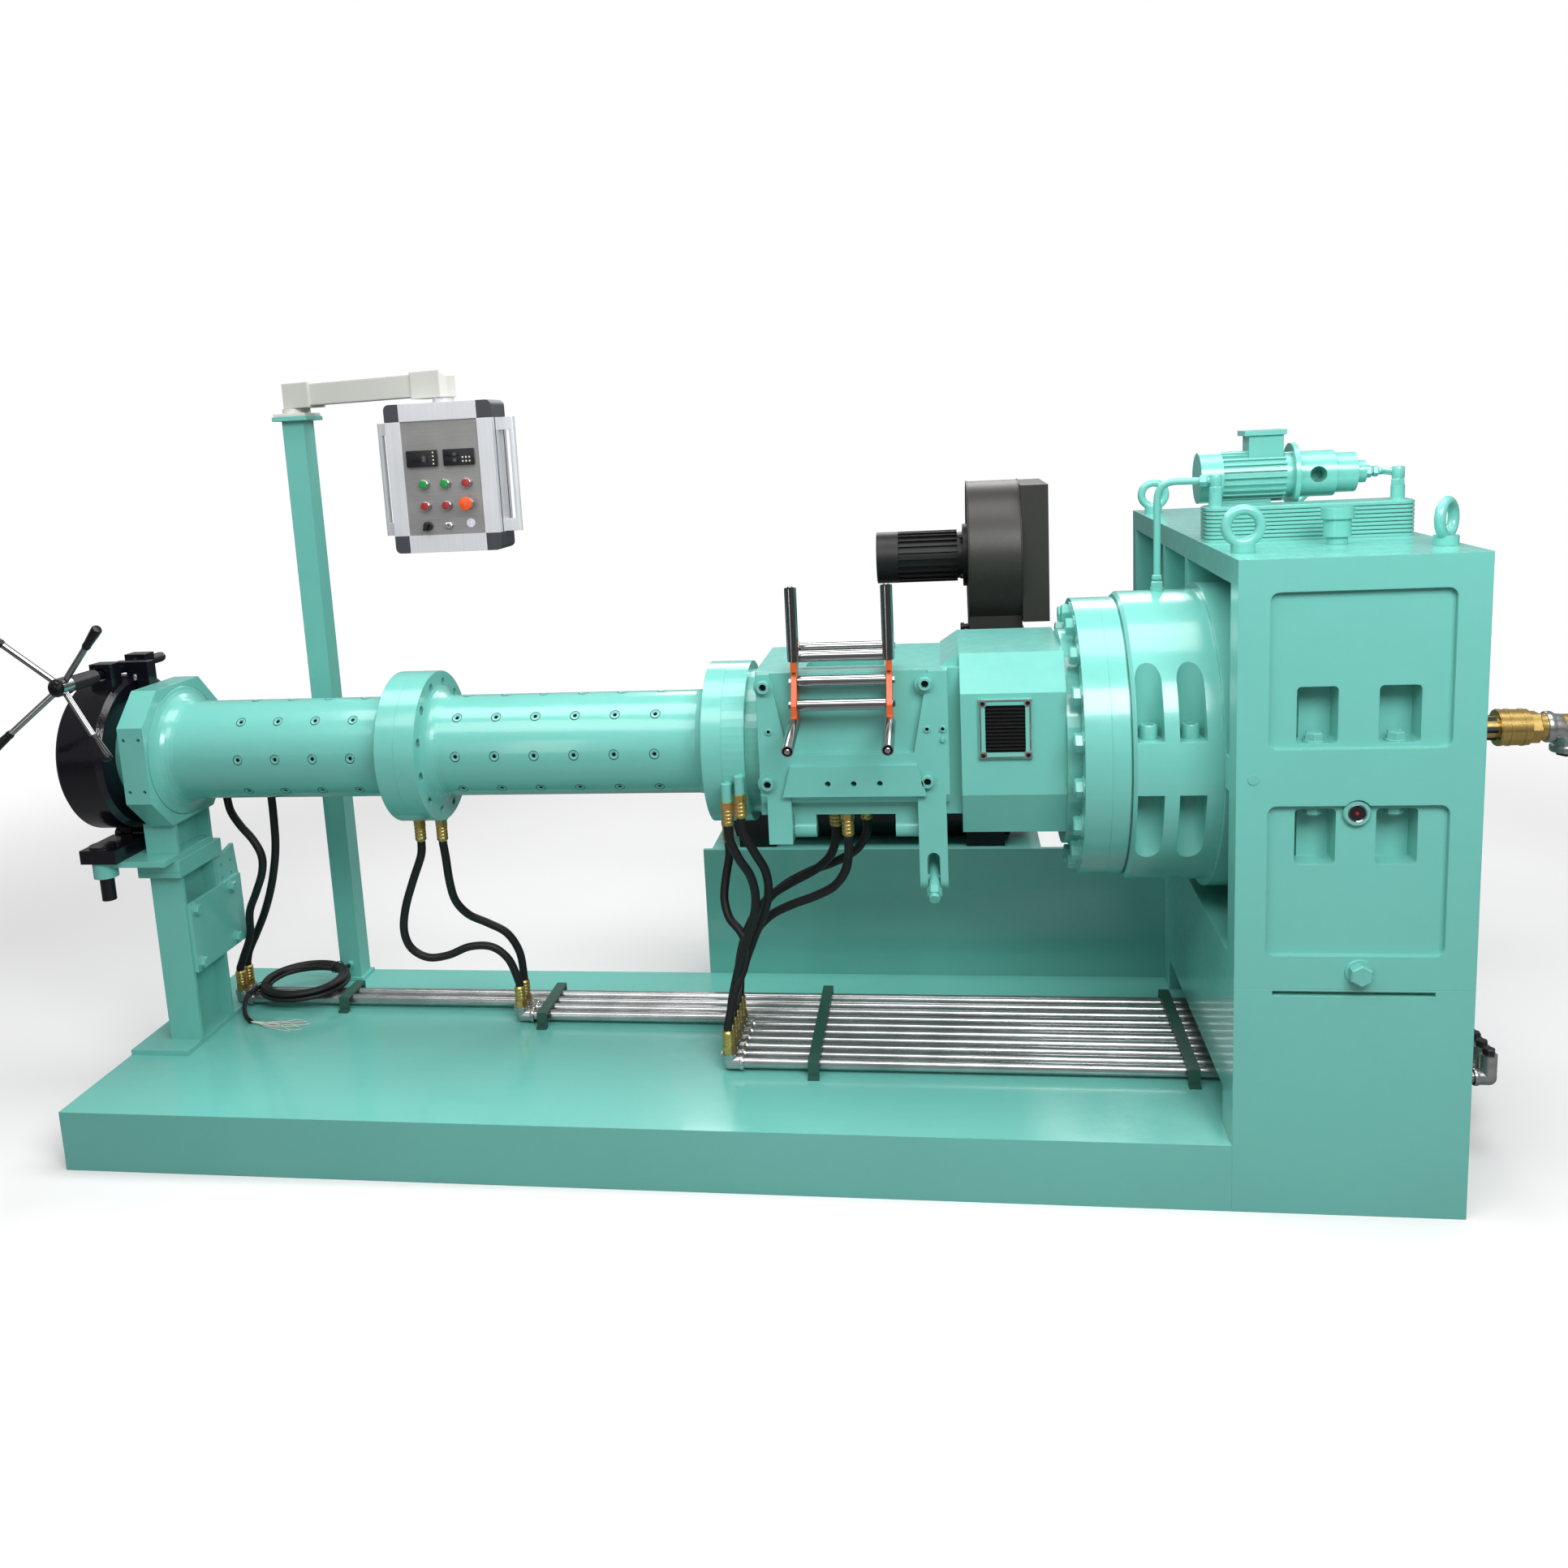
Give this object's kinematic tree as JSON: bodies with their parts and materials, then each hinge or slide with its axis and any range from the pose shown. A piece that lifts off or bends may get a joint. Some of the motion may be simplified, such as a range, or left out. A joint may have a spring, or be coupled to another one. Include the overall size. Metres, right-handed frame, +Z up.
{
  "type": "rubber extruder",
  "caption": "Cold-feed pin-barrel rubber extruder on a low base, with gear case, thrust housing, side feed door with guide rollers, clamped die head, water hoses and a control box on an arm.",
  "frame": {"origin": "floor under the middle of the base's length and depth", "axes": "+X along the screw from the die to the gear case, +Y away from the feed door, +Z up"},
  "size_m": [4.1662, 1.65, 2.1123],
  "materials": {
    "paint": "glossy mint green machine paint",
    "enamel": "glossy black enamel",
    "blower_grey": "dark grey textured paint",
    "steel": "polished and galvanised steel",
    "orange": "orange paint",
    "brass": "plain brass",
    "clamp_green": "dark green straps",
    "rubber": "black rubber",
    "arm_grey": "light grey paint",
    "alloy": "anodised aluminium"
  },
  "bodies": {
    "machine": {"base_deck": "paint", "motor_wall": "paint", "motor_bed": "paint", "gear_stand": "paint", "gear_case": "paint", "thrust_housing": "paint", "thrust_flange": "paint", "feed_casting": "paint", "vent_cover": "paint", "barrel_rear": "paint", "barrel_front": "paint", "barrel_pins": "paint", "head_flange": "paint", "head_bracket": "paint", "column": "paint", "saddle": "paint", "side_plate": "paint", "pump_motor": "paint", "gear_pump": "paint", "oil_cooler": "paint", "oil_lines": "paint", "breather": "paint", "lifting_eyes": "paint", "control_post": "paint", "vent_mesh": "enamel", "die_head": "enamel", "clamp_base": "enamel", "screw_yoke": "enamel", "main_motor": "enamel", "blower_motor": "enamel", "blower_scroll": "blower_grey", "motor_coupling": "steel", "water_pipes": "steel", "rotary_union": "brass", "hose_fittings": "brass", "pipe_clamps": "clamp_green", "water_hoses": "rubber", "cable_coil": "rubber", "cable_ends": "rubber", "arm_base": "arm_grey"},
    "clamp_front": {"clamp_front": "enamel"},
    "clamp_rear": {"clamp_rear": "enamel"},
    "clamp_screw": {"clamp_screw": "enamel", "handle_spokes": "steel", "handle_grips": "rubber"},
    "feed_door": {"feed_door": "paint", "door_rod": "paint", "roller_frame": "orange"},
    "cross_roller_1": {"cross_roller_1": "steel"},
    "cross_roller_2": {"cross_roller_2": "steel"},
    "cross_roller_3": {"cross_roller_3": "steel"},
    "cross_roller_4": {"cross_roller_4": "steel"},
    "upright_left": {"upright_left": "steel"},
    "upright_right": {"upright_right": "steel"},
    "guide_left": {"guide_left": "steel"},
    "guide_right": {"guide_right": "steel"},
    "swing_arm": {"swing_arm": "arm_grey"},
    "control_box": {"control_box": "alloy", "box_corners": "blower_grey", "box_handles": "alloy"}
  },
  "joints": [
    {"name": "clamp_screw_turn", "type": "hinge", "parent": "machine", "child": "clamp_screw", "pos_m": [-1.765, -0.322, 1.305], "axis": [0, 1, 0], "range_deg": [0, 1040]},
    {"name": "clamp_front_swing", "type": "hinge", "parent": "machine", "child": "clamp_front", "pos_m": [-1.795, -0.322, 0.802], "axis": [1, 0, 0], "range_deg": [0, 2]},
    {"name": "clamp_rear_swing", "type": "hinge", "parent": "machine", "child": "clamp_rear", "pos_m": [-1.795, -0.322, 0.802], "axis": [-1, 0, 0], "range_deg": [0, 2]},
    {"name": "feed_door_swing", "type": "hinge", "parent": "machine", "child": "feed_door", "pos_m": [0.387, -0.52, 0.864], "axis": [1, 0, 0], "range_deg": [0, 70]},
    {"name": "arm_swing", "type": "hinge", "parent": "machine", "child": "swing_arm", "pos_m": [-1.35, 0.1, 2.037], "axis": [0, 0, 1], "range_deg": [-150, 150]},
    {"name": "box_swivel", "type": "hinge", "parent": "swing_arm", "child": "control_box", "pos_m": [-0.78442, -0.12851, 2.03], "axis": [0, 0, 1], "range_deg": [-90, 90]},
    {"name": "cross_roller_1_spin", "type": "hinge", "parent": "feed_door", "child": "cross_roller_1", "pos_m": [0.366, -0.613, 1.212], "axis": [1, 0, 0], "continuous": true},
    {"name": "cross_roller_2_spin", "type": "hinge", "parent": "feed_door", "child": "cross_roller_2", "pos_m": [0.366, -0.587, 1.268], "axis": [1, 0, 0], "continuous": true},
    {"name": "cross_roller_3_spin", "type": "hinge", "parent": "feed_door", "child": "cross_roller_3", "pos_m": [0.366, -0.55, 1.325], "axis": [1, 0, 0], "continuous": true},
    {"name": "cross_roller_4_spin", "type": "hinge", "parent": "feed_door", "child": "cross_roller_4", "pos_m": [0.366, -0.5, 1.339], "axis": [1, 0, 0], "continuous": true},
    {"name": "upright_left_spin", "type": "hinge", "parent": "feed_door", "child": "upright_left", "pos_m": [0.247, -0.591, 1.32], "axis": [0, 0, 1], "continuous": true},
    {"name": "guide_left_spin", "type": "hinge", "parent": "feed_door", "child": "guide_left", "pos_m": [0.247, -0.633, 1.172], "axis": [0, -0.9816, -0.1908], "continuous": true},
    {"name": "upright_right_spin", "type": "hinge", "parent": "feed_door", "child": "upright_right", "pos_m": [0.485, -0.591, 1.32], "axis": [0, 0, 1], "continuous": true},
    {"name": "guide_right_spin", "type": "hinge", "parent": "feed_door", "child": "guide_right", "pos_m": [0.485, -0.633, 1.172], "axis": [0, -0.9816, -0.1908], "continuous": true}
  ],
  "couplings": [
    {"joint": "clamp_front_swing", "follows": "clamp_screw_turn", "ratio": 0.0019231},
    {"joint": "clamp_rear_swing", "follows": "clamp_screw_turn", "ratio": 0.0019231}
  ]
}
